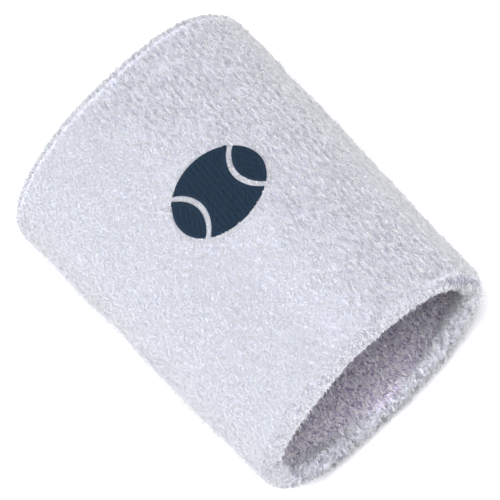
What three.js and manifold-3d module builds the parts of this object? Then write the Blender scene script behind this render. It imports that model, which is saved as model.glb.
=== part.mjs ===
// A long terry-cloth sweat wristband at rest on a table, in millimetres.
// It is a knitted tube folded back into itself, so its wall is two plies of terry
// with rounded, turned edges. The tube's axis is Y, its width X and its height Z.
import * as THREE from 'three';
import { mergeVertices } from 'three/addons/utils/BufferGeometryUtils.js';
import Module from 'manifold-3d';

const wasm = await Module();
wasm.setup();

// The whole band
const LENGTH = 120;
const WIDTH = 70.4; // half-way along
const TAPER = 0.044; // the far end is wider than the middle by this share, the near end narrower
const HEIGHT = 28.3;
const FLAT_WIDTH = 24.2; // the stretch of the underside that lies on the table
const WIDEST_HEIGHT = 10.8; // where the oval section is at its widest
const CROWN_SHIFT = 4.6; // the top of the oval lies a little towards +X

// The wall, as depths below the outer skin
const OUTER_PLY_INSIDE = 2.8;
const LINING_OUTSIDE = 3.9;
const WALL = 6.3;
const CLEARANCE = 0.3; // between pieces that touch

// Turned edges
const EDGE_LENGTH = 6;
const EDGE_ROUNDING = 2.9;
const FOLD_HOLLOW_DEPTH = 2.4;

// Elastic yarns, laid in as coils between the plies
const ELASTIC_DIAMETER = 0.4;
const ELASTIC_DEPTH = 3.25;
const ELASTIC_PITCH = 12;
const ELASTIC_END_MARGIN = 8;

// Closing seam, where the tube's two raw ends meet in the lining
const SEAM_Y = 20;
const SEAM_HALF_WIDTH = 2.4;
const SEAM_GROOVE_DEPTH = 1.15;
const SEAM_THREAD_DIAMETER = 0.3;
const SEAM_STITCHES = 50;

// Embroidered ball on the crown
const BALL_RADIUS = 12.5;
const BALL_CENTRE = { x: 4, y: 4 };
const BALL_SEAM_WIDTH = 1.5;
const BALL_SEAM_RADIUS = 12;
const BALL_SEAM_CENTRE = 17.5; // from the ball's centre to each seam arc's centre
const EMBROIDERY_THICKNESS = 0.6;
const EMBROIDERY_DEPTH = 0.1; // how far the stitches lie below the pile's tips
const BACKING_SIDE = 29;
const BACKING_THICKNESS = 0.3;
const BACKING_DEPTH = 2.1;
const BOBBIN_DEPTH = 2.52;
const BOBBIN_THICKNESS = 0.22;

// How finely round shapes are faceted
const CURVE_DIVISIONS = 12;
const ROUNDING_SEGMENTS = 4;
const DISC_SEGMENTS = 40;
const TURN_STEPS = 40;

const WHITE_TERRY = { color: 0xe6e7ef, roughness: 0.95, metalness: 0 };
const LINING_TERRY = { color: 0xd9d8e2, roughness: 0.95, metalness: 0 };
const ELASTIC = { color: 0xf1efe9, roughness: 0.6, metalness: 0 };
const SEAM_THREAD = { color: 0xf0f0f2, roughness: 0.7, metalness: 0 };
const NAVY_THREAD = { color: 0x173651, roughness: 0.6, metalness: 0 };
const BOBBIN_THREAD = { color: 0xe9e9ec, roughness: 0.7, metalness: 0 };
const NONWOVEN = { color: 0xf4f4f1, roughness: 0.9, metalness: 0 };

// The oval section as a path in (x, height), anticlockwise from the left end of the flat.
function makeSection() {
  const side = WIDTH / 2;
  const flat = FLAT_WIDTH / 2;
  const low = 0.62 * WIDEST_HEIGHT;
  const high = 0.62 * (HEIGHT - WIDEST_HEIGHT);
  const under = 0.62 * (side - flat);
  const over = 0.58 * side;
  const path = new THREE.Path();
  path.moveTo(-flat, 0);
  path.lineTo(flat, 0);
  path.bezierCurveTo(flat + under, 0, side, WIDEST_HEIGHT - low, side, WIDEST_HEIGHT);
  path.bezierCurveTo(side, WIDEST_HEIGHT + high, CROWN_SHIFT + over, HEIGHT, CROWN_SHIFT, HEIGHT);
  path.bezierCurveTo(CROWN_SHIFT - over, HEIGHT, -side, WIDEST_HEIGHT + high, -side, WIDEST_HEIGHT);
  path.bezierCurveTo(-side, WIDEST_HEIGHT - low, -flat - under, 0, -flat, 0);
  return path;
}

const section = makeSection();

// A point of the curve moved inwards, square to it, by a depth.
function inwards(curve, u, depth) {
  const point = curve.getPointAt(u);
  const tangent = curve.getTangentAt(u);
  return new THREE.Vector2(point.x - depth * tangent.y, point.y + depth * tangent.x);
}

// The section's outline at a depth below the outer skin.
function outline(depth) {
  const points = [];
  for (const curve of section.curves) {
    const divisions = curve.isLineCurve ? 1 : CURVE_DIVISIONS;
    for (let i = 0; i < divisions; i += 1) {
      points.push(inwards(curve, i / divisions, depth));
    }
  }
  return points;
}

// Turns a solid extruded along +Z so that it runs from yStart to yEnd, with its section upright.
function layAlongY(geometry, yEnd) {
  geometry.translate(0, 0, -yEnd);
  geometry.rotateX(Math.PI / 2);
  return geometry;
}

function ringShape(outerDepth, innerDepth) {
  const shape = new THREE.Shape(outline(outerDepth));
  shape.holes.push(new THREE.Path(outline(innerDepth)));
  return shape;
}

// A length of tube wall between two depths.
function ring(outerDepth, innerDepth, yStart, yEnd) {
  const shape = ringShape(outerDepth, innerDepth);
  const geometry = new THREE.ExtrudeGeometry(shape, { depth: yEnd - yStart, bevelEnabled: false });
  return toSolid(layAlongY(geometry, yEnd));
}

// The whole wall with both ends rounded.
function roundedTube() {
  const geometry = new THREE.ExtrudeGeometry(ringShape(0, WALL), {
    depth: LENGTH - 2 * EDGE_ROUNDING,
    bevelThickness: EDGE_ROUNDING,
    bevelSize: EDGE_ROUNDING,
    bevelOffset: -EDGE_ROUNDING,
    bevelSegments: ROUNDING_SEGMENTS,
  });
  return toSolid(layAlongY(geometry, LENGTH / 2 - EDGE_ROUNDING));
}

function toSolid(geometry) {
  const bare = geometry.clone();
  bare.deleteAttribute('normal');
  bare.deleteAttribute('uv');
  const merged = mergeVertices(bare);
  return new wasm.Manifold(new wasm.Mesh({
    numProp: 3,
    vertProperties: merged.attributes.position.array,
    triVerts: new Uint32Array(merged.index.array),
  }));
}

function toGeometry(solid) {
  const { vertProperties, triVerts } = solid.getMesh();
  const geometry = new THREE.BufferGeometry();
  geometry.setAttribute('position', new THREE.BufferAttribute(vertProperties, 3));
  geometry.setIndex(new THREE.BufferAttribute(triVerts, 1));
  geometry.computeVertexNormals();
  return geometry;
}

// An upright column over the whole height, to cut pieces out of the crown.
function roundColumn(radius, x, y) {
  const geometry = new THREE.CylinderGeometry(radius, radius, HEIGHT, DISC_SEGMENTS);
  geometry.rotateX(Math.PI / 2);
  geometry.translate(x, y, HEIGHT);
  return toSolid(geometry);
}

function squareColumn(side) {
  const geometry = new THREE.BoxGeometry(side, side, HEIGHT);
  geometry.translate(BALL_CENTRE.x, BALL_CENTRE.y, HEIGHT);
  return toSolid(geometry);
}

// A box over the full section from yStart to yEnd.
function slab(yStart, yEnd) {
  const geometry = new THREE.BoxGeometry(2 * WIDTH, yEnd - yStart, 4 * HEIGHT);
  geometry.translate(0, (yStart + yEnd) / 2, 0);
  return toSolid(geometry);
}

// The column over one panel of the ball, grown by a margin. side is -1, 0 or 1.
function panelColumn(side, margin) {
  const ball = roundColumn(BALL_RADIUS + margin, BALL_CENTRE.x, BALL_CENTRE.y);
  const halfSeam = BALL_SEAM_WIDTH / 2;
  if (side !== 0) {
    const seamX = BALL_CENTRE.x + side * BALL_SEAM_CENTRE;
    return ball.intersect(roundColumn(BALL_SEAM_RADIUS - halfSeam + margin, seamX, BALL_CENTRE.y));
  }
  return [-1, 1].reduce((rest, way) => {
    const seamX = BALL_CENTRE.x + way * BALL_SEAM_CENTRE;
    return rest.subtract(roundColumn(BALL_SEAM_RADIUS + halfSeam - margin, seamX, BALL_CENTRE.y));
  }, ball);
}

// A layer of the crown between two depths, long enough for the embroidery.
function crownLayer(outerDepth, innerDepth) {
  return ring(outerDepth, innerDepth, BALL_CENTRE.y - BACKING_SIDE, BALL_CENTRE.y + BACKING_SIDE);
}

function makeOuterPly() {
  const end = LENGTH / 2 - EDGE_LENGTH - CLEARANCE;
  const pocketFloor = EMBROIDERY_DEPTH + EMBROIDERY_THICKNESS + CLEARANCE;
  const skin = crownLayer(-CLEARANCE, pocketFloor);
  const backPocket = crownLayer(BACKING_DEPTH - CLEARANCE / 2, LINING_OUTSIDE)
    .intersect(squareColumn(BACKING_SIDE + 2 * CLEARANCE));
  return [-1, 0, 1]
    .reduce(
      (ply, side) => ply.subtract(skin.intersect(panelColumn(side, CLEARANCE))),
      ring(0, OUTER_PLY_INSIDE, -end, end),
    )
    .subtract(backPocket);
}

// One end of the wall, with the hollow that the fold leaves between the plies.
function makeTurnedEdge(side) {
  const inner = LENGTH / 2 - EDGE_LENGTH;
  const [yStart, yEnd] = side < 0 ? [-LENGTH, -inner] : [inner, LENGTH];
  const hollowEnd = inner + FOLD_HOLLOW_DEPTH;
  const [hollowStart, hollowStop] = side < 0 ? [-hollowEnd, -inner + 1] : [inner - 1, hollowEnd];
  return roundedTube()
    .intersect(slab(yStart, yEnd))
    .subtract(ring(OUTER_PLY_INSIDE, LINING_OUTSIDE, hollowStart, hollowStop));
}

// The lining on one side of the closing seam, thinned where the seam's threads lie.
function makeLiningPly(side) {
  const end = LENGTH / 2 - EDGE_LENGTH - CLEARANCE;
  const [yStart, yEnd] = side < 0
    ? [-end, SEAM_Y - CLEARANCE / 2]
    : [SEAM_Y + CLEARANCE / 2, end];
  const groove = ring(
    LINING_OUTSIDE - CLEARANCE,
    LINING_OUTSIDE + SEAM_GROOVE_DEPTH,
    SEAM_Y - SEAM_HALF_WIDTH,
    SEAM_Y + SEAM_HALF_WIDTH,
  );
  return ring(LINING_OUTSIDE, WALL, yStart, yEnd).subtract(groove);
}

// A yarn's path round the section: turns of coil from yStart to yEnd, swinging by sway.
class YarnPath extends THREE.Curve {
  constructor({ depth, yStart, yEnd, turns, sway = 0, swings = 0, startTurn = 0.02 }) {
    super();
    Object.assign(this, { depth, yStart, yEnd, turns, sway, swings, startTurn });
  }

  getPoint(t, target = new THREE.Vector3()) {
    const round = (this.startTurn + t * this.turns) % 1;
    const point = inwards(section, round, this.depth);
    const swing = this.sway * Math.sin(2 * Math.PI * this.swings * t);
    return target.set(point.x, this.yStart + t * (this.yEnd - this.yStart) + swing, point.y);
  }
}

function yarn(path, diameter, sides, steps) {
  const circle = new THREE.Shape();
  for (let i = 0; i < sides; i += 1) {
    const angle = (2 * Math.PI * i) / sides;
    const [x, y] = [(diameter / 2) * Math.cos(angle), (diameter / 2) * Math.sin(angle)];
    if (i === 0) circle.moveTo(x, y);
    else circle.lineTo(x, y);
  }
  return new THREE.ExtrudeGeometry(circle, { steps, extrudePath: path });
}

function elasticCoil(yStart, yEnd) {
  const turns = (yEnd - yStart) / ELASTIC_PITCH;
  const path = new YarnPath({ depth: ELASTIC_DEPTH, yStart, yEnd, turns });
  return yarn(path, ELASTIC_DIAMETER, 4, Math.round(turns * TURN_STEPS));
}

// A thread of the closing seam: one turn round the band, in the lining's groove.
function seamThread(y, depth, sway, startTurn) {
  const path = new YarnPath({
    depth, yStart: y, yEnd: y, turns: 0.97, sway, swings: SEAM_STITCHES, startTurn,
  });
  const steps = sway === 0 ? 2 * TURN_STEPS : 4 * SEAM_STITCHES;
  return yarn(path, SEAM_THREAD_DIAMETER, 3, steps);
}

function makeEmbroideryPanel(side) {
  return crownLayer(EMBROIDERY_DEPTH, EMBROIDERY_DEPTH + EMBROIDERY_THICKNESS)
    .intersect(panelColumn(side, 0));
}

function makeBacking() {
  return crownLayer(BACKING_DEPTH, BACKING_DEPTH + BACKING_THICKNESS)
    .intersect(squareColumn(BACKING_SIDE));
}

function makeBobbinThread() {
  return crownLayer(BOBBIN_DEPTH, BOBBIN_DEPTH + BOBBIN_THICKNESS)
    .intersect(roundColumn(BALL_RADIUS, BALL_CENTRE.x, BALL_CENTRE.y));
}

// Narrows the band towards its near end and widens it towards its far end.
function taper(geometry) {
  const position = geometry.getAttribute('position');
  for (let i = 0; i < position.count; i += 1) {
    const share = (TAPER * position.getY(i)) / (LENGTH / 2);
    position.setX(i, position.getX(i) * (1 + share));
  }
  geometry.computeVertexNormals();
  return geometry;
}

const band = new THREE.Group();

function add(name, shape, finish) {
  const geometry = taper(shape.isBufferGeometry ? shape : toGeometry(shape));
  const mesh = new THREE.Mesh(geometry, new THREE.MeshStandardMaterial(finish));
  mesh.name = name;
  band.add(mesh);
}

add('outer_terry_ply', makeOuterPly(), WHITE_TERRY);
add('near_turned_edge', makeTurnedEdge(-1), WHITE_TERRY);
add('far_turned_edge', makeTurnedEdge(1), WHITE_TERRY);
add('lining_ply_near', makeLiningPly(-1), LINING_TERRY);
add('lining_ply_far', makeLiningPly(1), LINING_TERRY);

const coilEnd = LENGTH / 2 - ELASTIC_END_MARGIN;
const halfPitch = ELASTIC_PITCH / 2;
add('elastic_yarn_outer_ply', elasticCoil(-coilEnd, coilEnd - halfPitch), ELASTIC);
add('elastic_yarn_lining_near', elasticCoil(-coilEnd + halfPitch, SEAM_Y - halfPitch), ELASTIC);
add('elastic_yarn_lining_far', elasticCoil(SEAM_Y + halfPitch, coilEnd), ELASTIC);

const shallow = LINING_OUTSIDE + 0.3;
const deep = LINING_OUTSIDE + 0.75;
add('seam_needle_thread', seamThread(SEAM_Y - 1.8, shallow, 0, 0.01), SEAM_THREAD);
add('seam_upper_looper_thread', seamThread(SEAM_Y, shallow, 1.2, 0.015), SEAM_THREAD);
add('seam_lower_looper_thread', seamThread(SEAM_Y, deep, -1.2, 0.015), SEAM_THREAD);

add('ball_panel_left', makeEmbroideryPanel(-1), NAVY_THREAD);
add('ball_panel_centre', makeEmbroideryPanel(0), NAVY_THREAD);
add('ball_panel_right', makeEmbroideryPanel(1), NAVY_THREAD);
add('embroidery_backing', makeBacking(), NONWOVEN);
add('embroidery_bobbin_thread', makeBobbinThread(), BOBBIN_THREAD);

export default band;
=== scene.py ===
import math

import bpy
import numpy as np
from mathutils import Matrix, Vector


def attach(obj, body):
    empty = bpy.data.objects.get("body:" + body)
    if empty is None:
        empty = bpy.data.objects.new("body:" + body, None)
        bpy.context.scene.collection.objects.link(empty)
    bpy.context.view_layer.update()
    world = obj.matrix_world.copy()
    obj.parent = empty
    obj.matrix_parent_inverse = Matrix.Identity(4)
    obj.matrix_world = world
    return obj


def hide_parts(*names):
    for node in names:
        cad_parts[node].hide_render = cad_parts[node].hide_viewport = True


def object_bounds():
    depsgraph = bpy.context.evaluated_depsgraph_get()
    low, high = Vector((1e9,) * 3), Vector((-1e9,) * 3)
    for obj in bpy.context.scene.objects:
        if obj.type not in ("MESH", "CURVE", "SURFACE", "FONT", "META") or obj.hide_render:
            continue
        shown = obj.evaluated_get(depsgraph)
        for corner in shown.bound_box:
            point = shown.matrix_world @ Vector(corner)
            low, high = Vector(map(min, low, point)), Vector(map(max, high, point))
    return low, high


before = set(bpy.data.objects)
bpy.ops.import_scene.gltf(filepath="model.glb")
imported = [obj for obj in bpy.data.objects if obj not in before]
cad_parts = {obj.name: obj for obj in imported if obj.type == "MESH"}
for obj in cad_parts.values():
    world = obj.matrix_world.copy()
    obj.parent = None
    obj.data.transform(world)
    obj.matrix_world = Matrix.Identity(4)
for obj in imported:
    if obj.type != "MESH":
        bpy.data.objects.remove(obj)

cad_low, cad_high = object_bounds()
MM = 0.001

# ---------------------------------------------------------------- the band's shape

WALL = 6.3  # both plies, from the outer loops' tips to the lining's
TAPER = 0.044  # the far end is wider than the middle by this share
LEFT_RECESS, RIGHT_RECESS = 2.0, 2.7  # how far the turned edges draw back at the two sides
CORNER_RECESS = 1.9  # and the near one also at its lower right corner
PRESSED = 0.5  # the height under which the pile is pressed flat on the ground
PILE = 0.75  # the loops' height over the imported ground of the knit
LINING_PILE = 0.6  # how much deeper the ground lies in the lining, where the loops are looser
KNIT = 1.3  # the ground's thickness
SEAM_Y = 20  # where the tube's two ends are joined, on the lining side

LENGTH = (cad_high.y - cad_low.y) / MM
HEIGHT = (cad_high.z - cad_low.z) / MM
WIDTH = (cad_high.x - cad_low.x) / MM / (1 + TAPER)
FLAT_WIDTH = 24.2  # of the underside that rests on the ground
WIDEST_HEIGHT = 10.8  # at which the oval is widest
CROWN_SHIFT = 4.6  # of the oval's highest point to the right
BULGE = 0.62  # how round the oval is: its curves' handles as a share of their reach
CROWN_BULGE = 0.58

HALF_STRAIGHT = LENGTH / 2 - WALL / 2  # from the middle to where a fold starts
FOLD_RADIUS = WALL / 2 - PILE  # of the loops' roots round a fold
FOLD_ARC = math.pi * FOLD_RADIUS
STRAIGHT = 2 * HALF_STRAIGHT
LINING_START = STRAIGHT + FOLD_ARC
LINING_END = LINING_START + STRAIGHT
MERIDIAN = LINING_END + FOLD_ARC  # once round the wall, lengthways


def unit(vectors):
    return vectors / np.linalg.norm(vectors, axis=-1, keepdims=True)


def smooth_step(x, start, end):
    t = np.clip((x - start) / (end - start), 0, 1)
    return t * t * (3 - 2 * t)


def bezier(points, t):
    """Points and slopes of a cubic curve, or of a straight line given by its ends."""
    p = [np.array(q, float) for q in points]
    if len(p) == 2:
        return p[0] + t * (p[1] - p[0]), np.repeat((p[1] - p[0])[None], len(t), 0)
    s = 1 - t
    place = s**3 * p[0] + 3 * s * s * t * p[1] + 3 * s * t * t * p[2] + t**3 * p[3]
    slope = s * s * (p[1] - p[0]) + 2 * s * t * (p[2] - p[1]) + t * t * (p[3] - p[2])
    return place, slope


class Oval:
    """The outline of the loops' tips in the XZ plane, by the share of the way round it."""

    def __init__(self):
        side, flat = WIDTH / 2, FLAT_WIDTH / 2
        low, high = BULGE * WIDEST_HEIGHT, BULGE * (HEIGHT - WIDEST_HEIGHT)
        under, over = BULGE * (side - flat), CROWN_BULGE * side
        wide, top, crown = WIDEST_HEIGHT, HEIGHT, CROWN_SHIFT
        curves = [
            [(-flat, 0), (flat, 0)],
            [(flat, 0), (flat + under, 0), (side, wide - low), (side, wide)],
            [(side, wide), (side, wide + high), (crown + over, top), (crown, top)],
            [(crown, top), (crown - over, top), (-side, wide + high), (-side, wide)],
            [(-side, wide), (-side, wide - low), (-flat - under, 0), (-flat, 0)],
        ]
        t = np.linspace(0, 1, 400, endpoint=False)[:, None]
        parts = [bezier(curve, t) for curve in curves]
        places = np.concatenate([part[0] for part in parts])
        slopes = unit(np.concatenate([part[1] for part in parts]))
        steps = np.linalg.norm(np.roll(places, -1, 0) - places, axis=1)
        self.girth = steps.sum()
        self.share = np.concatenate([[0], np.cumsum(steps)]) / self.girth
        self.places = np.vstack([places, places[:1]])
        self.slopes = np.vstack([slopes, slopes[:1]])

    def at(self, u):
        u = np.mod(u, 1)
        place = np.stack([np.interp(u, self.share, c) for c in self.places.T], -1)
        slope = unit(np.stack([np.interp(u, self.share, c) for c in self.slopes.T], -1))
        return place, slope

    def over(self, x):
        """The share of the way round at which the upper side is at x."""
        upper = self.places[:, 1] > WIDEST_HEIGHT
        return np.interp(x, self.places[upper, 0][::-1], self.share[upper][::-1])


oval = Oval()


def wall_profile(m):
    """Depth under the tips, place along Y and the pile's way up, at m along the wall.

    m runs over the outer ply from the near end to the far one, round the far fold,
    back over the lining and round the near fold. The pile's way up is given as its
    share outwards and its share along Y.
    """
    m = np.mod(m, MERIDIAN)
    middle, r = WALL / 2, FOLD_RADIUS
    far = (m - STRAIGHT) / r
    near = (m - LINING_END) / r
    regions = [m < STRAIGHT, m < LINING_START, m < LINING_END]
    one = np.ones_like(m)
    depth = np.select(
        regions, [(middle - r) * one, middle - r * np.cos(far), (middle + r) * one],
        middle + r * np.cos(near))
    y = np.select(
        regions,
        [m - HALF_STRAIGHT, HALF_STRAIGHT + r * np.sin(far), HALF_STRAIGHT - (m - LINING_START)],
        -HALF_STRAIGHT - r * np.sin(near))
    out = np.select(regions, [one, np.cos(far), -one], -np.cos(near))
    along = np.select(regions, [0 * one, np.sin(far), 0 * one], -np.sin(near))
    return depth, y, out, along


def skin(u, m):
    """Root point of the pile at (u, m), with its up, round and lengthways directions."""
    place, slope = oval.at(u)
    depth, y, out, along = wall_profile(m)
    zero = np.zeros_like(depth)
    outwards = np.stack([slope[..., 1], zero, -slope[..., 0]], -1)
    around = np.stack([slope[..., 0], zero, slope[..., 1]], -1)
    point = np.stack([place[..., 0], y, place[..., 1]], -1) - depth[..., None] * outwards
    up = out[..., None] * outwards + along[..., None] * np.array([0, 1.0, 0])
    return point, up, around, np.cross(around, up)


def settle(points):
    """Gives the straight oval tube the taper and unevenness of a soft one lying on the ground."""
    x, y, z = points[..., 0], points[..., 1], points[..., 2]
    t = y / (LENGTH / 2)
    lift = np.clip(z / HEIGHT, 0, 1)
    side = np.clip(np.abs(x) / (WIDTH / 2), 0, 1.1)
    recess = np.where(x < 0, LEFT_RECESS, RIGHT_RECESS)
    new_y = y * (1 - recess / (LENGTH / 2) * side**5)
    corner = np.exp(-(((x - 25) / 10) ** 2)) * (1 - smooth_step(z, 4, 14))
    new_y = new_y + CORNER_RECESS * corner * smooth_step(-y, 40, 60)
    sway = 0.45 * np.sin(2.3 * t + 0.6) * lift
    new_x = x * (1 + TAPER * t) + sway
    new_z = z - 0.35 * lift * (1 - np.cos(3.1 * t + 0.05 * x))
    new_z = np.where(new_z < PRESSED, PRESSED * np.exp(np.minimum(new_z / PRESSED - 1, 0)), new_z)
    return np.stack([new_x, new_y, new_z], -1)


# ---------------------------------------------------------------- relief of the pile

WALES = 94
RIB_HEIGHT = 0.15


def wave_field(seed, wavelength, stretch=1.0, terms=28):
    """A smooth random field over the skin, of about unit spread, periodic round the band.

    stretch makes its patches longer along the band than round it.
    """
    rng = np.random.default_rng(seed)
    angle = rng.uniform(0, math.pi, terms)
    rate = rng.normal(1, 0.25, terms) / wavelength
    round_rate = np.round(oval.girth * rate * np.cos(angle))
    length_rate = np.round(MERIDIAN * rate * np.sin(angle) / stretch) / MERIDIAN
    phase = rng.uniform(0, 2 * math.pi, terms)

    def field(u, m):
        turns = np.multiply.outer(u, round_rate) + np.multiply.outer(m, length_rate)
        return np.sin(2 * math.pi * turns + phase).sum(-1) * math.sqrt(2 / terms)

    return field


tuft = wave_field(21, 1.5, 1.5)
clump = wave_field(22, 3.4, 1.4)
strand = wave_field(25, 1.2, 3.6, 40)
patch = wave_field(23, 13)
broad = wave_field(24, 34)


def from_near_end(m):
    """Distance along the skin from the near fold's outer side: over the fold it is negative."""
    m = np.mod(m, MERIDIAN)
    return np.where(m > MERIDIAN - 12, m - MERIDIAN, m)


def turned_in(u, m):
    """0 on the outer ply, rising to 1 over the upper part of a turned edge as it faces inwards."""
    place, _ = oval.at(u)
    middle = np.where(np.mod(m, MERIDIAN) < LINING_START + HALF_STRAIGHT,
                      STRAIGHT + FOLD_ARC / 2, LINING_END + FOLD_ARC / 2)
    into = (np.mod(m, MERIDIAN) - middle) * np.where(middle < LINING_START, 1, -1)
    return smooth_step(into, -5.0, 0.5) * smooth_step(place[..., 1], 9, 16)


def roughness(u, m):
    """1 where the pile is rubbed up into separate tufts, 0 where it lies close and even."""
    u = np.mod(u, 1)
    far = smooth_step(np.mod(m, MERIDIAN), 60, 108)
    _, _, out, _ = wall_profile(m)
    window = smooth_step(u, 0.35, 0.39)
    window = window * (1 - smooth_step(u, 0.47 + 0.07 * far, 0.57 + 0.11 * far))
    return np.clip(window * (0.85 + 0.15 * patch(u, m)), 0, 1) * np.clip(out + 0.6, 0, 1)


def rib_strength(u, m):
    """How clearly the wales show as ribs: most on the crown's right side and far end."""
    u = np.mod(u, 1)
    far = smooth_step(np.mod(m, MERIDIAN), 60, 108)
    right = smooth_step(u, 0.345, 0.39) * (1 - smooth_step(u, 0.44 + 0.1 * far, 0.54 + 0.12 * far))
    _, _, _, along = wall_profile(m)
    ribbed = right * (0.85 + 0.25 * far + 0.25 * patch(u, m)) * (1 - 0.5 * np.abs(along))
    return np.clip(0.08 + ribbed, 0, 1.3)


def lip_knobs(u, m):
    """Rounded knobs side by side along the lower half of each turned edge."""
    u = np.mod(u, 1)
    place, _ = oval.at(u)
    low = 1 - smooth_step(place[..., 1], 5, 13)
    _, _, _, along = wall_profile(m)
    knob = np.abs(np.cos(math.pi * (0.32 * oval.girth * u + 0.25 * clump(u, m))))
    return low * np.abs(along) ** 0.5 * (knob**0.5 - 0.65)


def dent(u, m, at_u, at_m, radius):
    """1 at the middle of a dent, and 0 well away from it."""
    du = (np.mod(u - at_u + 0.5, 1) - 0.5) * oval.girth
    dm = from_near_end(m) - at_m
    return np.exp(-((du**2 + dm**2) / radius**2))


def lining_edge(u):
    """How far before the near fold's middle the lining's loose loops begin, and after the far's."""
    place, _ = oval.at(u)
    side = np.abs(place[..., 0]) / (WIDTH / 2)
    low = 1 - smooth_step(place[..., 1], 8, 16)
    return 2.7 + low * (np.minimum(7.5 * side + 0.6, 5.8) - 2.7)


def in_lining(u, m):
    """1 where the skin is the lining's, 0 on the outer ply and the turned edges."""
    m = np.mod(m, MERIDIAN)
    reach = lining_edge(u)
    place, _ = oval.at(u)
    low_left = smooth_step(-place[..., 0], -4, 14) * (1 - smooth_step(place[..., 1], 6, 16))
    blur = 0.8 + 1.8 * low_left
    start = STRAIGHT + FOLD_ARC / 2 + reach
    end = LINING_END + FOLD_ARC / 2 - reach
    return (smooth_step(m, start - blur, start + blur)
            * (1 - smooth_step(m, end - blur, end + blur)))


def crease_line(u):
    """How far round the near fold the crease at its right corner lies, and how deep it is."""
    u = np.mod(u, 1)
    deep = smooth_step(u, 0.29, 0.32) * (1 - smooth_step(u, 0.39, 0.43))
    return -3.3 + 1.8 * (1 - smooth_step(u, 0.305, 0.345)), deep


CREASE_WIDTH = 0.9
PUCKERS = [(0.792, -4.2, 1.3), (0.878, -5.6, 1.2)]  # place round, place along, radius


def hollows(u, m):
    """1 in the right corner's crease and in the two puckers at the near fold's left corner."""
    line, deep = crease_line(u)
    crease = deep * np.exp(-(((from_near_end(m) - line) / CREASE_WIDTH) ** 2))
    return np.clip(crease + sum(dent(u, m, *pucker) for pucker in PUCKERS), 0, 1)


def corner_shade(u):
    """1 at the band's lower left corner, where the pile rests on the ground."""
    place, _ = oval.at(u)
    return smooth_step(-place[..., 0], 6, 20) * (1 - smooth_step(place[..., 1], 3, 9))


KNOB_HEIGHT = 1.7
HOLLOW_DEPTH = 0.8
LEFT_THINNING = 0.45  # of the near turned edge over its left half


def relief(u, m):
    """How far the pile's surface stands over its mean height."""
    ribs = np.cos(2 * math.pi * (WALES * u - 0.5) + 0.9 * patch(u, m) + 0.4 * clump(u, m))
    rubbed = roughness(u, m)
    turn = np.mod(u, 1)
    right = smooth_step(turn, 0.24, 0.28) * (1 - smooth_step(turn, 0.34, 0.38))
    left = smooth_step(turn, 0.54, 0.6) * (1 - smooth_step(turn, 0.78, 0.84))
    thinned = left * np.exp(-(((from_near_end(m) + 4.5) / 2) ** 2))
    height = RIB_HEIGHT * rib_strength(u, m) * ribs
    height = height + (0.015 + 0.06 * rubbed) * strand(u, m) + 0.12 * broad(u, m)
    height = height + 0.015 * tuft(u, m) + (0.03 + 0.03 * rubbed + 0.09 * right) * clump(u, m)
    height = height + KNOB_HEIGHT * lip_knobs(u, m) - HOLLOW_DEPTH * hollows(u, m)
    return height - LEFT_THINNING * thinned - LINING_PILE * in_lining(u, m)


def relief_slope(u, m):
    """The relief's slopes round the band and along it."""
    step = 0.06
    rise_u = (relief(u + step / oval.girth, m) - relief(u - step / oval.girth, m)) / (2 * step)
    rise_m = (relief(u, m + step) - relief(u, m - step)) / (2 * step)
    return rise_u[..., None], rise_m[..., None]


# ---------------------------------------------------------------- the embroidered ball's outline

BALL_RADIUS = 12.5
BALL_CENTRE = np.array([4, 4])
BALL_SEAM_WIDTH = 1.5
BALL_SEAM_RADIUS = 12
BALL_SEAM_CENTRE = 17.5  # from the ball's centre to each seam arc's centre


def mark_distance(x, y):
    """Distance to the nearest embroidered panel, negative inside it."""
    from_middle = np.hypot(x - BALL_CENTRE[0], y - BALL_CENTRE[1]) - BALL_RADIUS
    seams = [np.abs(np.hypot(x - BALL_CENTRE[0] - way * BALL_SEAM_CENTRE, y - BALL_CENTRE[1])
                    - BALL_SEAM_RADIUS) - BALL_SEAM_WIDTH / 2 for way in (-1, 1)]
    return np.maximum(from_middle, -np.minimum(*seams))


def off_the_mark(points):
    """Distance from the mark of points on the crown, and a large one elsewhere."""
    distance = mark_distance(points[..., 0], points[..., 1])
    return np.where(points[..., 2] > WIDEST_HEIGHT + 6, distance, 99)


# ---------------------------------------------------------------- meshes

def make_piece(name, points, faces, material, normals=None):
    """A mesh object from points in mm and arrays of faces, one array for each face size."""
    mesh = bpy.data.meshes.new(name)
    corners = np.concatenate([f.ravel() for f in faces]).astype(np.int32)
    sizes = np.concatenate([np.full(len(f), f.shape[1]) for f in faces])
    starts = np.concatenate([[0], np.cumsum(sizes)[:-1]]).astype(np.int32)
    mesh.vertices.add(len(points))
    mesh.vertices.foreach_set("co", (points * MM).astype(np.float32).ravel())
    mesh.loops.add(len(corners))
    mesh.loops.foreach_set("vertex_index", corners)
    mesh.polygons.add(len(sizes))
    mesh.polygons.foreach_set("loop_start", starts)
    mesh.polygons.foreach_set("use_smooth", np.full(len(sizes), True))
    mesh.update(calc_edges=True)
    if normals is not None:
        shading = mesh.attributes.new("custom_normal", "FLOAT_VECTOR", "POINT")
        shading.data.foreach_set("vector", normals.astype(np.float32).ravel())
    mesh.materials.append(material)
    piece = bpy.data.objects.new(name, mesh)
    bpy.context.scene.collection.objects.link(piece)
    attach(piece, "root")
    return piece


def tube_faces(count, steps, sides):
    """Quads and end caps of count tubes, each steps rings of sides points."""
    ring, corner = np.meshgrid(np.arange(steps - 1), np.arange(sides), indexing="ij")
    after = (corner + 1) % sides
    quad = np.stack([ring * sides + corner, ring * sides + after,
                     (ring + 1) * sides + after, (ring + 1) * sides + corner], -1)
    caps = np.stack([np.arange(sides)[::-1], (steps - 1) * sides + np.arange(sides)])
    offset = (np.arange(count) * steps * sides)[:, None, None]
    return [(quad.reshape(1, -1, 4) + offset).reshape(-1, 4),
            (caps[None] + offset).reshape(-1, sides)]


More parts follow.
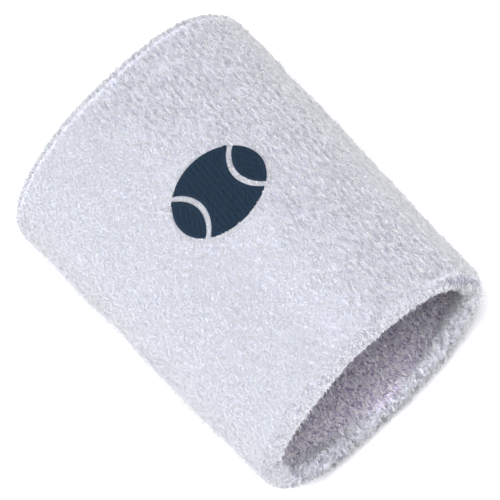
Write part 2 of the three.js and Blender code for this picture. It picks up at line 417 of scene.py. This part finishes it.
def tube_points(paths, across, radii, sides, flatten=1.0):
    """Rings of points round paths (n, steps, 3), and each point's way out of its path.

    across is a direction square to each path, along which a flattened tube is widest.
    """
    ahead = unit(np.gradient(paths, axis=1))
    across = across[:, None, :]
    first = unit(across - (across * ahead).sum(-1, keepdims=True) * ahead)
    second = np.cross(ahead, first)
    angle = 2 * math.pi * np.arange(sides) / sides
    wide = np.cos(angle)[:, None] * first[:, :, None, :]
    thick = np.sin(angle)[:, None] * second[:, :, None, :]
    points = paths[:, :, None, :] + radii[:, :, None, None] * (wide + flatten * thick)
    return points, unit(wide * flatten + thick)


def cubic_paths(p0, p1, p2, p3, steps):
    t = np.linspace(0, 1, steps)[None, :, None]
    s = 1 - t
    p0, p1, p2, p3 = (p[:, None, :] for p in (p0, p1, p2, p3))
    return s**3 * p0 + 3 * s * s * t * p1 + 3 * s * t * t * p2 + t**3 * p3


LOCKS_IN_PIECE, LOOPS_IN_PIECE = 13000, 4300  # at most, to keep a piece to a workable size


def share_out(name, points, normals, material, slot):
    """Tubes shared out between pieces, so that none has too many faces."""
    points = settle(points)
    count, steps, sides = points.shape[:3]
    most = LOCKS_IN_PIECE if sides == 3 else LOOPS_IN_PIECE
    for i, chosen in enumerate(np.array_split(np.arange(count), math.ceil(count / most))):
        piece = make_piece(f"{name}_{i + 1:02d}", points[chosen].reshape(-1, 3),
                           tube_faces(len(chosen), steps, sides), material,
                           normals[chosen].reshape(-1, 3))


# ---------------------------------------------------------------- terry loops and fuzz

SOFTNESS = 0.93  # how much of a loop's shading comes from the pile's surface as a whole
ROUGH_SOFTNESS = 0.7  # and where the pile is rubbed up
NAP = 0.5  # how far every loop's tip leans towards the near end
LOOP_STEPS, LOOP_SIDES = 6, 4
LOCK_STEPS, LOCK_SIDES = 3, 3


def soft_normals(ring, up, around, length, rise_u, rise_m, softness, rng, uneven):
    """Directions for shading: the pile surface's, each tuft's with a small lean of its own."""
    lean = rng.normal(0, 1, (2, len(up), 1)) * np.broadcast_to(uneven, len(up))[:, None]
    surface = unit(up - (rise_u + lean[0]) * around - (rise_m + lean[1]) * length)
    surface = surface[:, None, None, :]
    softness = np.broadcast_to(softness, len(up))[:, None, None, None]
    return unit((1 - softness) * ring + softness * surface)


COURSE_PITCH = 0.5
COURSE_JITTER = 0.2


def loop_roots(m_start, m_end, rng):
    """Roots of the loops in every wale, a course pitch apart, each a little out of place."""
    courses = int(round((m_end - m_start) / COURSE_PITCH))
    wale, course = np.meshgrid(np.arange(WALES), np.arange(courses), indexing="ij")
    wale, course = wale.ravel(), course.ravel()
    u = (wale + 0.5) / WALES
    m = m_start + (course + 0.5 + 0.5 * (wale % 2)) * (m_end - m_start) / courses
    spread = oval.girth / WALES * (0.5 - 0.3 * np.clip(rib_strength(u, m), 0, 1))
    u = u + rng.uniform(-1, 1, wale.size) * spread / oval.girth
    return u, m + rng.normal(0, COURSE_JITTER, m.size)


def terry(u, m, rng, height, width, radius, lean=0.2, nap=NAP, pull=0.4, softness=None,
          turned=(1.4, 0.4)):
    """Points and soft normals of one yarn loop on each root.

    turned is the mean angle of a loop's plane to the courses, and its spread. pull is how
    far the loops lean up the slopes of the relief.
    """
    if softness is None:
        softness = SOFTNESS + (ROUGH_SOFTNESS - SOFTNESS) * roughness(u, m)
    root, up, around, length = skin(u, m)
    rise_u, rise_m = relief_slope(u, m)
    root = root + relief(u, m)[:, None] * up
    n = len(u)
    turn = rng.normal(*turned, n)[:, None]
    plane = np.cos(turn) * around + np.sin(turn) * length
    tall = (height * rng.normal(1, 0.1, n))[:, None]
    wide = (width * rng.normal(1, 0.18, n))[:, None]
    clear = off_the_mark(root)[:, None]
    wide = wide * np.where(clear < 1.0, 0.5, 1)
    push = (pull * (rise_u * around + rise_m * length)
            + rng.normal(0, lean, (n, 1)) * around + rng.normal(0, lean, (n, 1)) * length
            - nap * length) * np.where(clear < 1.0, 0.3, 1)
    curl = rng.normal(0, 0.15, (n, 1)) * np.cross(up, plane)
    foot, sink = 0.2 * plane, -0.2 * up
    top = up * tall * 4 / 3
    paths = cubic_paths(root - foot + sink, root - wide * plane + top + push + curl,
                        root + wide * plane + top + push - curl, root + foot + sink,
                        LOOP_STEPS)
    t = np.linspace(0, 1, LOOP_STEPS)
    radii = radius * (0.8 + 0.2 * np.sin(math.pi * t)) * rng.normal(1, 0.12, (n, 1))
    radii = radii * rng.normal(1, 0.08, (n, LOOP_STEPS))
    kept = off_the_mark(paths[:, LOOP_STEPS // 2]) > 0.12
    kept &= off_the_mark(root) > 0.05
    points, ring = tube_points(paths, np.cross(up, plane), radii, LOOP_SIDES)
    uneven = 0.12 + 0.3 * roughness(u, m)
    normals = soft_normals(ring, up, around, length, rise_u, rise_m, softness, rng, uneven)
    return points[kept], normals[kept]


def fuzz(u, m, rng, height, reach, radius, nap, softness=None, uneven=None):
    """Points and soft normals of one lock of loose fibres on each root.

    Each rises by height and reaches sideways, and more towards the near end as nap grows.
    """
    if softness is None:
        softness = 0.85 - 0.25 * roughness(u, m)
    if uneven is None:
        uneven = 0.13 + 0.32 * roughness(u, m)
    root, up, around, length = skin(u, m)
    rise_u, rise_m = relief_slope(u, m)
    n = len(u)
    root = root + relief(u, m)[:, None] * up
    heading = rng.uniform(0, 2 * math.pi, n)[:, None]
    away = unit(np.cos(heading) * around + np.sin(heading) * length - nap * length)
    side = np.cross(up, away)
    tall = up * (height * rng.gamma(6, 1 / 6, n))[:, None] * np.ones(3)
    far = (reach * rng.uniform(0.5, 1.2, n))[:, None] * away
    bend = rng.normal(0, 0.12, (n, 1)) * reach * side
    start = root - 0.1 * up
    paths = cubic_paths(start, start + 0.15 * far + 0.9 * tall,
                        start + 0.6 * far + 1.2 * tall + bend,
                        start + far + 0.75 * tall + bend, LOCK_STEPS)
    radii = radius * np.linspace(1, 0.4, LOCK_STEPS) * rng.uniform(0.7, 1.2, (n, 1))
    kept = (off_the_mark(paths[:, 0]) > 0.1) & (off_the_mark(paths[:, -1]) > 0.1)
    points, ring = tube_points(paths, side, radii, LOCK_SIDES)
    normals = soft_normals(ring, up, around, length, rise_u, rise_m, softness, rng, uneven)
    return points[kept], normals[kept]


def scatter(m_start, m_end, density, rng):
    """Even but irregular places on the skin between two distances along the wall."""
    cell = 1 / math.sqrt(density)
    columns, rows = int(oval.girth / cell), max(1, int((m_end - m_start) / cell))
    i, j = np.meshgrid(np.arange(columns), np.arange(rows), indexing="ij")
    u = (i.ravel() + rng.uniform(0, 1, i.size)) / columns
    m = m_start + (j.ravel() + rng.uniform(0, 1, i.size)) * (m_end - m_start) / rows
    order = rng.permutation(i.size)
    return u[order], m[order]


def locks(name, u, m, rng, shades, slot, **shape):
    """Short locks of fibres, the darker of several shades more often in the furrows, as painted
    shade.
    """
    # painted shade: the lower the strand field, the darker the shade, with random tone besides
    standing = strand(u, m) + rng.normal(0, 0.6, len(u))
    levels = np.quantile(standing, np.arange(1, len(shades)) / len(shades))
    level = np.searchsorted(levels, standing)
    for i, cotton in enumerate(shades):
        chosen = level == i
        if chosen.any():
            points, normals = fuzz(u[chosen], m[chosen], rng, **shape)
            share_out(f"{name}_{'abc'[i]}", points, normals, cotton, slot)


# ---------------------------------------------------------------- embroidery

STITCH_PITCH = 0.36
STITCH_LENGTH = 3.0
THREAD_WIDTH = 0.23  # half the thread's width as it lies
THREAD_FLATNESS = 0.55  # its thickness as a share of its width
THREAD_STEPS, THREAD_SIDES = 6, 6
FILL_ANGLE, FILL_TURN = 62, 25  # of the centre panel's stitches, and from panel to panel
PANELS = {"left": -1, "centre": 0, "right": 1}


def panel_distance(x, y, side):
    """Distance to one panel of the ball, negative inside it."""
    from_middle = np.hypot(x - BALL_CENTRE[0], y - BALL_CENTRE[1]) - BALL_RADIUS
    from_arc = [np.hypot(x - BALL_CENTRE[0] - way * BALL_SEAM_CENTRE, y - BALL_CENTRE[1])
                - BALL_SEAM_RADIUS for way in (-1, 1)]
    if side == 0:
        seams = BALL_SEAM_WIDTH / 2 - np.minimum(*from_arc)
    else:
        seams = from_arc[0 if side < 0 else 1] + BALL_SEAM_WIDTH / 2
    return np.maximum(from_middle, seams)


def crown_points(x, y, depth):
    """Points over (x, y) on the crown, a depth under the loops' tips, and their way up."""
    root, up, _, _ = skin(oval.over(x), y + HALF_STRAIGHT)
    return root + up * (PILE - depth)[..., None], up


def stitches(starts, ends, rng, depth, rise, width=THREAD_WIDTH):
    """Threads lying flat between pairs of places on the crown, their ends going under."""
    t = np.linspace(0, 1, THREAD_STEPS)
    flat = starts[:, None, :] + t[None, :, None] * (ends - starts)[:, None, :]
    arch = rise * np.clip(np.sin(math.pi * t), 0, 1) ** 0.35 - rise
    depths = depth - arch[None, :] + rng.normal(0, 0.015, (len(starts), 1))
    paths, up = crown_points(flat[..., 0], flat[..., 1], depths)
    ahead = unit(paths[:, -1] - paths[:, 0])
    across = np.cross(up[:, THREAD_STEPS // 2], ahead)
    radii = width * rng.normal(1, 0.05, (len(starts), 1)) * np.ones((1, THREAD_STEPS))
    return tube_points(paths, across, radii, THREAD_SIDES, THREAD_FLATNESS)


def fill_rows(side, rng, angle, inset, pitch, length):
    """Ends of the stitches of a brick-laid fill at an angle, inside one panel."""
    along = np.array([math.cos(angle), math.sin(angle)])
    across = np.array([-along[1], along[0]])
    fine = np.arange(-BALL_RADIUS, BALL_RADIUS, 0.05)
    starts, ends = [], []
    for row, offset in enumerate(np.arange(-BALL_RADIUS, BALL_RADIUS, pitch)):
        line = BALL_CENTRE + fine[:, None] * along + offset * across
        inside = panel_distance(line[:, 0], line[:, 1], side) < -inset
        edges = np.flatnonzero(np.diff(np.concatenate([[0], inside.astype(int), [0]])))
        for first, last in edges.reshape(-1, 2):
            low, high = fine[first], fine[last - 1]
            shift = (row % 4) * length / 4 + rng.uniform(-0.15, 0.15)
            cuts = np.arange(math.floor(low / length) * length + shift - length, high, length)
            cuts = np.concatenate([[low], cuts[(cuts > low + 0.5) & (cuts < high - 0.5)], [high]])
            if high - low > 0.3:
                starts.append(BALL_CENTRE + cuts[:-1, None] * along + offset * across)
                ends.append(BALL_CENTRE + cuts[1:, None] * along + offset * across)
    return np.concatenate(starts), np.concatenate(ends)


def border_stitches(side, width, pitch):
    """Ends of the short stitches that run round a panel, square to its outline."""
    outline = trace_outline(side)
    steps = np.linalg.norm(np.diff(outline, axis=0, append=outline[:1]), axis=1)
    distance = np.concatenate([[0], np.cumsum(steps)])
    closed = np.vstack([outline, outline[:1]])
    places = np.arange(0, distance[-1], pitch)
    edge = np.stack([np.interp(places, distance, c) for c in closed.T], -1)
    ahead = unit(np.roll(edge, -1, 0) - np.roll(edge, 1, 0))
    inwards = np.stack([-ahead[:, 1], ahead[:, 0]], -1)
    return edge, edge + width * inwards


def arc(centre, radius, start, end, count=200):
    a = np.linspace(start, end, count)
    return np.stack([centre[0] + radius * np.cos(a), centre[1] + radius * np.sin(a)], -1)


def trace_outline(side):
    """One panel's outline, anticlockwise."""
    def crossing(seam_radius):
        """Angles at the ball's centre and at the right arc's where the two circles cross."""
        d, r = BALL_SEAM_CENTRE, BALL_RADIUS
        x = (d * d + r * r - seam_radius**2) / (2 * d)
        y = math.sqrt(r * r - x * x)
        return math.atan2(y, x), math.atan2(y, x - d)

    right = BALL_CENTRE + np.array([BALL_SEAM_CENTRE, 0])
    left = BALL_CENTRE - np.array([BALL_SEAM_CENTRE, 0])
    inner = BALL_SEAM_RADIUS - BALL_SEAM_WIDTH / 2
    outer = BALL_SEAM_RADIUS + BALL_SEAM_WIDTH / 2
    if side == 0:
        a, b = crossing(outer)
        return np.concatenate([
            arc(BALL_CENTRE, BALL_RADIUS, a, math.pi - a),
            arc(left, outer, math.pi - b, b - math.pi)[1:-1],
            arc(BALL_CENTRE, BALL_RADIUS, math.pi + a, 2 * math.pi - a),
            arc(right, outer, 2 * math.pi - b, b)[1:-1]])
    a, b = crossing(inner)
    if side > 0:
        return np.concatenate([arc(BALL_CENTRE, BALL_RADIUS, -a, a),
                               arc(right, inner, b, 2 * math.pi - b)[1:-1]])
    return np.concatenate([arc(BALL_CENTRE, BALL_RADIUS, math.pi - a, math.pi + a),
                           arc(left, inner, b - math.pi, math.pi - b)[1:-1]])


def embroider(name, side, angle, rng):
    """One panel: underlay, brick-laid fill and a satin border, in one mesh."""
    under = fill_rows(side, rng, angle + math.pi / 2, inset=0.5, pitch=0.5, length=3.5)
    fill = fill_rows(side, rng, angle, inset=0.25, pitch=STITCH_PITCH, length=STITCH_LENGTH)
    border = border_stitches(side, width=1.15, pitch=0.3)
    layers = [stitches(*under, rng, depth=0.5, rise=0.1, width=0.3),
              stitches(*fill, rng, depth=0.3, rise=0.14),
              stitches(*border, rng, depth=0.2, rise=0.2, width=0.19)]
    points = settle(np.concatenate([layer[0] for layer in layers]))
    count, steps, sides = points.shape[:3]
    piece = make_piece(f"ball_stitches_{name}", points.reshape(-1, 3),
                       tube_faces(count, steps, sides), navy_thread)
    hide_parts(f"ball_panel_{name}")
    return piece


# ---------------------------------------------------------------- materials

def new_material(name):
    material = bpy.data.materials.new(name)
    material.use_nodes = True
    nodes = material.node_tree.nodes
    return material, nodes, material.node_tree.links, nodes["Principled BSDF"]


def noise(nodes, links, scale, detail=3):
    place = nodes.new("ShaderNodeTexCoord")
    texture = nodes.new("ShaderNodeTexNoise")
    texture.inputs["Scale"].default_value = scale
    texture.inputs["Detail"].default_value = detail
    texture.inputs["Roughness"].default_value = 0.6
    links.new(place.outputs["Object"], texture.inputs["Vector"])
    return texture


def ramp(nodes, links, source, low, high):
    shades = nodes.new("ShaderNodeValToRGB")
    shades.color_ramp.elements[0].position = 0.3
    shades.color_ramp.elements[1].position = 0.7
    shades.color_ramp.elements[0].color = (*low, 1)
    shades.color_ramp.elements[1].color = (*high, 1)
    links.new(source, shades.inputs["Fac"])
    return shades


def average(nodes, links, first, second):
    """Half of each of two noises."""
    mix = nodes.new("ShaderNodeMath")
    mix.operation = "MULTIPLY_ADD"
    mix.inputs[1].default_value = 0.5
    half = nodes.new("ShaderNodeMath")
    half.operation = "MULTIPLY"
    half.inputs[1].default_value = 0.5
    links.new(first.outputs["Fac"], mix.inputs[0])
    links.new(second.outputs["Fac"], half.inputs[0])
    links.new(half.outputs[0], mix.inputs[2])
    return mix.outputs[0]


def paint_shade_along(nodes, links, colour, axis, light_at, shaded_at, share):
    """Painted shade: a colour fading to a share of itself between two places on one axis, in mm."""
    place = nodes.new("ShaderNodeTexCoord")
    split = nodes.new("ShaderNodeSeparateXYZ")
    fade = nodes.new("ShaderNodeMapRange")
    fade.interpolation_type = "SMOOTHSTEP"
    fade.inputs["From Min"].default_value = light_at * MM
    fade.inputs["From Max"].default_value = shaded_at * MM
    fade.inputs["To Min"].default_value = 1
    fade.inputs["To Max"].default_value = share
    scale = nodes.new("ShaderNodeVectorMath")
    scale.operation = "SCALE"
    links.new(place.outputs["Object"], split.inputs[0])
    links.new(split.outputs[axis], fade.inputs["Value"])
    links.new(colour, scale.inputs[0])
    links.new(fade.outputs["Result"], scale.inputs["Scale"])
    return scale.outputs["Vector"]


def thread(name, low, high, fine=5200, coarse=420, roughness=0.92, sheen=0.25, scatter=0.7,
           painted_shade=None):
    """Spun yarn: two noises mix its low and high shades, the finer one also in relief; where given,
    painted shade along one axis.
    """
    material, nodes, links, shader = new_material(name)
    fibres = noise(nodes, links, fine)
    shades = ramp(nodes, links, average(nodes, links, fibres, noise(nodes, links, coarse, 4)),
                  low, high)
    colour = shades.outputs["Color"]
    if painted_shade:
        colour = paint_shade_along(nodes, links, colour, *painted_shade)
    links.new(colour, shader.inputs["Base Color"])
    shader.inputs["Roughness"].default_value = roughness
    shader.inputs["Specular IOR Level"].default_value = 0.25
    shader.inputs["Sheen Weight"].default_value = sheen
    shader.inputs["Sheen Roughness"].default_value = 0.6
    shader.inputs["Subsurface Weight"].default_value = scatter
    shader.inputs["Subsurface Radius"].default_value = (1.0, 1.0, 1.1)
    shader.inputs["Subsurface Scale"].default_value = 0.8 * MM
    height = nodes.new("ShaderNodeBump")
    height.inputs["Strength"].default_value = 0.25
    height.inputs["Distance"].default_value = 0.1 * MM
    links.new(fibres.outputs["Fac"], height.inputs["Height"])
    links.new(height.outputs["Normal"], shader.inputs["Normal"])
    return material


# Painted shade, where the cotton darkens as if in shade: the axis, the places in mm it fades
# between, and the share left.
# painted shade: the pile darkens from 20 mm down to 9 mm over the ground
PAINTED_LOW_SHADE = ("Z", 20, 9, 0.6)
# painted shade: the turned edges' cotton darkens from 7 mm down to 1 mm over the ground
PAINTED_EDGE_LOW_SHADE = ("Z", 7, 1, 0.4)
# painted shade: the lining darkens from x -10 mm to 28 mm, inside the band's right side
PAINTED_DEEP_RIGHT_SHADE = ("X", -10, 28, 0.72)


def cottons(name, shades, painted_shade):
    """Cottons of several shades, the darkest first, all with the same painted shade along one axis.
    """
    return [thread(f"{name}_{i + 1}", low, high, painted_shade=painted_shade)
            for i, (low, high) in enumerate(shades)]


# In each set of shades below, the darkest goes more often into the furrows, as painted shade.
pile_cottons = cottons("terry_pile_cotton", [
    ((0.80, 0.82, 0.95), (0.86, 0.88, 0.99)),
    ((0.83, 0.85, 0.98), (0.89, 0.91, 1.0)),
    ((0.88, 0.895, 0.99), (0.94, 0.95, 1.0))], PAINTED_LOW_SHADE)
pile_cotton = pile_cottons[1]
# Painted shade: where the pile stands in tufts, its darkest shade is far darker, for the shade in
# the furrows.
rubbed_shade_cottons = cottons("rubbed_pile_shade_cotton", [
    ((0.49, 0.50, 0.61), (0.57, 0.58, 0.69)),
    ((0.82, 0.835, 0.95), (0.88, 0.895, 1.0)),
    ((0.90, 0.91, 0.99), (0.95, 0.955, 1.0))], PAINTED_LOW_SHADE)
# Painted shade: the turned edges' outer locks take a darker copy of the pile's cotton.
edge_shade_cottons = cottons("turned_pile_shade_cotton", [
    ((0.68, 0.69, 0.79), (0.76, 0.77, 0.87)),
    ((0.77, 0.785, 0.90), (0.83, 0.845, 0.95)),
    ((0.85, 0.86, 0.95), (0.91, 0.92, 0.99))], PAINTED_EDGE_LOW_SHADE)
# Painted shade: darker still, for where a turned edge faces inwards, between its knobs and along
# the far edge.
shaded_cottons = cottons("edge_pile_deep_shade_cotton", [
    ((0.31, 0.31, 0.41), (0.39, 0.39, 0.49)),
    ((0.49, 0.50, 0.61), (0.57, 0.58, 0.69)),
    ((0.66, 0.67, 0.77), (0.74, 0.75, 0.84))], PAINTED_EDGE_LOW_SHADE)
# Painted shade: the darkest locks, in the crease, the puckers and at the lower left corner.
sunken_shade_cotton = thread("sunken_pile_shade_cotton", (0.24, 0.24, 0.32), (0.34, 0.34, 0.43))
# Painted shade: the darkest lining shade goes into the furrows, and all darken towards the lining's
# right side.
lining_cottons = cottons("terry_lining_cotton", [
    ((0.30, 0.24, 0.43), (0.40, 0.34, 0.53)),
    ((0.92, 0.88, 1.0), (0.96, 0.93, 1.0)),
    ((0.95, 0.92, 1.0), (0.98, 0.96, 1.0))], PAINTED_DEEP_RIGHT_SHADE)
lining_cotton = lining_cottons[1]
# Painted shade: both grounds are darker than the pile's cotton, for the shade between the loops.
ground_cotton = thread("ground_cotton", (0.64, 0.65, 0.78), (0.72, 0.73, 0.85))
lining_ground = thread("lining_ground_cotton", (0.68, 0.61, 0.84), (0.78, 0.71, 0.94))
navy_thread = thread("navy_thread", (0.0, 0.003, 0.009), (0.009, 0.032, 0.066), 3000, 1900,
                     roughness=0.8, sheen=0, scatter=0)
elastic_yarn = thread("covered_elastic_yarn", (0.70, 0.70, 0.68), (0.86, 0.86, 0.84), 3800, 900)
seam_thread = thread("seam_thread", (0.80, 0.81, 0.88), (0.92, 0.93, 0.98), 6000, 1200)
backing_fleece = thread("backing_fleece", (0.74, 0.74, 0.73), (0.90, 0.90, 0.89), 2400, 300)
bobbin_thread = thread("bobbin_thread", (0.70, 0.70, 0.72), (0.88, 0.88, 0.90), 5200, 1100)
KEPT_NODES = {
    "elastic_yarn_outer_ply": elastic_yarn,
    "elastic_yarn_lining_near": elastic_yarn,
    "elastic_yarn_lining_far": elastic_yarn,
    "seam_needle_thread": seam_thread,
    "seam_upper_looper_thread": seam_thread,
    "seam_lower_looper_thread": seam_thread,
    "embroidery_backing": backing_fleece,
    "embroidery_bobbin_thread": bobbin_thread,
}


# ---------------------------------------------------------------- ground knit

SEAM_GAP = 0.6  # between the sheet's two ends, where the seam's threads run


def ground_knit():
    """The ground that the loops stand on: one thin sheet round the whole wall, seamed inside."""
    around, front, back = 4 * WALES, 222, 36
    seam = LINING_START + HALF_STRAIGHT - SEAM_Y
    u = np.arange(around) / around

    def side(lengthways, deep):
        m = seam + SEAM_GAP / 2 + np.linspace(0, MERIDIAN - SEAM_GAP, lengthways)
        uu, mm = np.meshgrid(u, m, indexing="ij")
        point, up, _, _ = skin(uu, mm)
        depth = -KNIT if deep else relief(uu, mm)[..., None]
        return point + depth * up, np.broadcast_to(m, uu.shape)

    (pile_side, m), (back_side, _) = side(front, False), side(back, True)
    points = settle(np.concatenate([pile_side.reshape(-1, 3), back_side.reshape(-1, 3)]))
    second = around * front

    def grid(lengthways, first):
        i, j = np.meshgrid(np.arange(around), np.arange(lengthways - 1), indexing="ij")
        a = (i + 1) % around
        corners = [i * lengthways + j, i * lengthways + j + 1, a * lengthways + j + 1,
                   a * lengthways + j]
        return first + np.stack(corners, -1).reshape(-1, 4)

    i, a = np.arange(around), (np.arange(around) + 1) % around
    start = np.stack([i * front, a * front, second + a * back, second + i * back], -1)
    end = np.stack([i * front + front - 1, second + i * back + back - 1,
                    second + a * back + back - 1, a * front + front - 1], -1)
    pile_quads = grid(front, 0)
    quads = np.concatenate([pile_quads, grid(back, second)[:, ::-1], start, end])
    piece = make_piece("ground_knit", points, [quads[:, ::-1]], ground_cotton)
    piece.data.materials.append(lining_ground)
    shares = np.repeat(u, front)
    inside = in_lining(shares, m.ravel()) > 0.5
    of_lining = np.zeros(len(quads), np.int32)
    of_lining[:len(pile_quads)] = inside[pile_quads].all(1)
    piece.data.polygons.foreach_set("material_index", of_lining)
    return piece


knit = ground_knit()
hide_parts("outer_terry_ply", "near_turned_edge", "far_turned_edge",
            "lining_ply_near", "lining_ply_far")


def outer_pile(rng):
    """Loops and locks over the outer ply: close on the left, rubbed up right of the mark."""
    u, m = loop_roots(0.2, STRAIGHT - 0.2, rng)
    loops = terry(u, m, rng, height=PILE - 0.2, width=0.4, radius=0.1)
    share_out("outer_terry_loops", *loops, pile_cotton, "terry_pile")
    u, m = scatter(0, STRAIGHT, 5.5, rng)
    rough = roughness(u, m) > rng.uniform(0.1, 0.9, len(u))
    even = ~rough
    locks("outer_locks", u[even], m[even], rng, pile_cottons, "terry_pile",
          height=0.45, reach=1.3, radius=0.1, nap=2.0)
    # the tufted crown, with darker painted shade in its furrows
    locks("crown_locks", u[rough], m[rough], rng, rubbed_shade_cottons, "terry_pile",
          height=0.5, reach=2.0, radius=0.12, nap=4.5, softness=0.55, uneven=0.4)
    u, m = scatter(0, STRAIGHT, 1.3, rng)
    left = (u > 0.6) & (off_the_mark(skin(u, m)[0]) > 3)
    locks("outer_stray_fibres", u[left], m[left], rng, [pile_cotton], "terry_pile",
          height=1.1, reach=0.8, radius=0.07, nap=0.6)
    u, m = scatter(HALF_STRAIGHT - 10, HALF_STRAIGHT + 18, 14, rng)
    gap = off_the_mark(skin(u, m)[0]) < 1.2
    locks("mark_edge_locks", u[gap], m[gap], rng, pile_cottons, "terry_pile",
          height=0.4, reach=0.6, radius=0.09, nap=0.8)


def turned_edge_pile(name, start, end, nap, rng):
    """Loops and locks over one turned edge, as far as the lining's looser pile."""
    u, m = scatter(start, end, 2.2, rng)
    rim = (in_lining(u, m) < rng.uniform(0.2, 0.8, len(u))) & (hollows(u, m) < 0.35)
    loops = terry(u[rim], m[rim], rng, height=PILE - 0.2, width=0.3, radius=0.1, lean=0.25,
                  nap=nap, turned=(1.2, 0.6))
    share_out(f"{name}_edge_loops", *loops, pile_cotton, "terry_pile")

    u, m = scatter(start, end, 7, rng)
    rim = in_lining(u, m) < rng.uniform(0.2, 0.9, len(u))
    u, m = u[rim], m[rim]
    # painted shade: darker locks where the edge turns inwards and between the knobs, more along the
    # far edge
    shade = turned_in(u, m) + np.clip(-2.5 * lip_knobs(u, m), 0, 0.8)
    shade += 0.25 if name == "far" else 0
    # painted shade: the darkest locks in the crease, the puckers and at the lower left corner
    sunken = hollows(u, m) + 0.55 * corner_shade(u) > rng.uniform(0.25, 0.9, len(u))
    inner = (shade > rng.uniform(0, 1, len(u))) & ~sunken
    outer = ~inner & ~sunken
    for part, chosen, shades in (("outer", outer, edge_shade_cottons), ("inner", inner, shaded_cottons),
                                 ("sunken", sunken, [sunken_shade_cotton])):
        locks(f"{name}_edge_{part}_locks", u[chosen], m[chosen], rng, shades, "terry_pile",
              height=0.6, reach=1.15, radius=0.115, nap=2.6 * nap, softness=0.7, uneven=0.26)

    u, m = scatter(start, end, 1.6, rng)
    rim = (in_lining(u, m) < 0.7) & (hollows(u, m) < 0.2)
    locks(f"{name}_edge_strays", u[rim], m[rim], rng, [pile_cotton], "terry_pile",
          height=0.9, reach=0.7, radius=0.07, nap=nap, softness=0.7, uneven=0.3)


def lining_pile(rng):
    """The lining's looser loops, sparser deep inside, and locks near its two ends."""
    u, m = loop_roots(LINING_START - 6, LINING_END + 6, rng)
    y = HALF_STRAIGHT - (m - LINING_START)
    inside = in_lining(u, m) > rng.uniform(0.2, 0.8, len(u))
    inside &= (np.abs(y) > 30) | (rng.random(len(u)) < 0.5)
    loops = terry(u[inside], m[inside], rng, height=1.2, width=0.27, radius=0.085, lean=0.3,
                  nap=0, pull=0.5, softness=0.5)
    share_out("lining_terry_loops", *loops, lining_cotton, "terry_lining")
    for name, start in (("far", LINING_START - 6), ("near", LINING_END - 14)):
        u, m = scatter(start, start + 20, 5.5, rng)
        inside = in_lining(u, m) > rng.uniform(0.1, 0.7, len(u))
        locks(f"{name}_lining_locks", u[inside], m[inside], rng, lining_cottons,
              "terry_lining", height=0.75, reach=1.0, radius=0.13, nap=0, softness=0.5,
              uneven=0.45)


rng = np.random.default_rng(5)
outer_pile(rng)
turned_edge_pile("far", STRAIGHT, LINING_START + 4, -NAP, rng)
turned_edge_pile("near", LINING_END - 4, MERIDIAN, NAP, rng)
lining_pile(rng)
panels = [embroider(name, side, math.radians(FILL_ANGLE + FILL_TURN * side), rng)
          for name, side in PANELS.items()]

for node, material in KEPT_NODES.items():
    for slot in bpy.data.objects[node].material_slots:
        slot.material = material


# ---------------------------------------------------------------- floor, light, camera

FLOOR_SIZE = 6.0
LIGHT_DISTANCE = 1.6


def make_floor():
    material, nodes, links, shader = new_material("studio_floor")
    tone = ramp(nodes, links, noise(nodes, links, 6).outputs["Fac"],
                (0.96, 0.96, 0.96), (0.98, 0.98, 0.98))
    links.new(tone.outputs["Color"], shader.inputs["Base Color"])
    shader.inputs["Roughness"].default_value = 0.9
    half = FLOOR_SIZE / 2
    points = [(-half, -half, 0), (half, -half, 0), (half, half, 0), (-half, half, 0)]
    mesh = bpy.data.meshes.new("studio_floor")
    mesh.from_pydata(points, [], [(0, 1, 2, 3)])
    mesh.materials.append(material)
    floor = bpy.data.objects.new("studio_floor", mesh)
    bpy.context.scene.collection.objects.link(floor)


def soft_light(name, direction, size, power, colour):
    """A square area light in a direction from the band, facing it."""
    data = bpy.data.lights.new(name, "AREA")
    data.size = size
    data.energy = power
    data.color = colour
    light = bpy.data.objects.new(name, data)
    towards = Vector(direction).normalized()
    light.location = towards * LIGHT_DISTANCE
    light.rotation_euler = towards.to_track_quat("Z", "Y").to_euler()
    bpy.context.scene.collection.objects.link(light)


def make_world(strength):
    world = bpy.data.worlds.new("studio")
    world.use_nodes = True
    background = world.node_tree.nodes["Background"]
    background.inputs["Color"].default_value = (1, 1, 1, 1)
    background.inputs["Strength"].default_value = strength
    bpy.context.scene.world = world


CAMERA_ELEVATION = math.radians(45.4)
CAMERA_AZIMUTH = math.radians(-0.9)
CAMERA_ROLL = math.radians(42.9)
CAMERA_DISTANCE = 1.169
CAMERA_OFFSET = Vector((0.00195, -0.00163, 0))  # puts the band a little off the middle
FOCAL_LENGTH = 364
SENSOR = 36


def make_camera():
    data = bpy.data.cameras.new("camera")
    data.lens = FOCAL_LENGTH
    data.sensor_width = SENSOR
    data.clip_start, data.clip_end = 0.05, 20
    camera = bpy.data.objects.new("camera", data)
    a, e = CAMERA_AZIMUTH, CAMERA_ELEVATION
    back = Vector((math.sin(a) * math.cos(e), -math.cos(a) * math.cos(e), math.sin(e)))
    turn = back.to_track_quat("Z", "Y").to_matrix().to_4x4()
    roll = Matrix.Rotation(-CAMERA_ROLL, 4, "Z")
    centre = Vector((0, 0, HEIGHT / 2 * MM))
    place = Matrix.Translation(centre + back * CAMERA_DISTANCE)
    camera.matrix_world = place @ turn @ roll @ Matrix.Translation(CAMERA_OFFSET)
    bpy.context.scene.collection.objects.link(camera)
    bpy.context.scene.camera = camera


make_floor()
make_world(0.6)
soft_light("key", (0.2, -0.35, 0.9), size=2.0, power=20.5, colour=(0.985, 0.99, 1))
soft_light("left", (-1.0, 0.4, 0.6), size=2.0, power=33.5, colour=(0.94, 0.96, 1))
soft_light("opening", (0.3, -1.0, 0.25), size=1.2, power=26, colour=(0.99, 0.99, 1))
make_camera()
bpy.context.scene.view_settings.view_transform = "Standard"
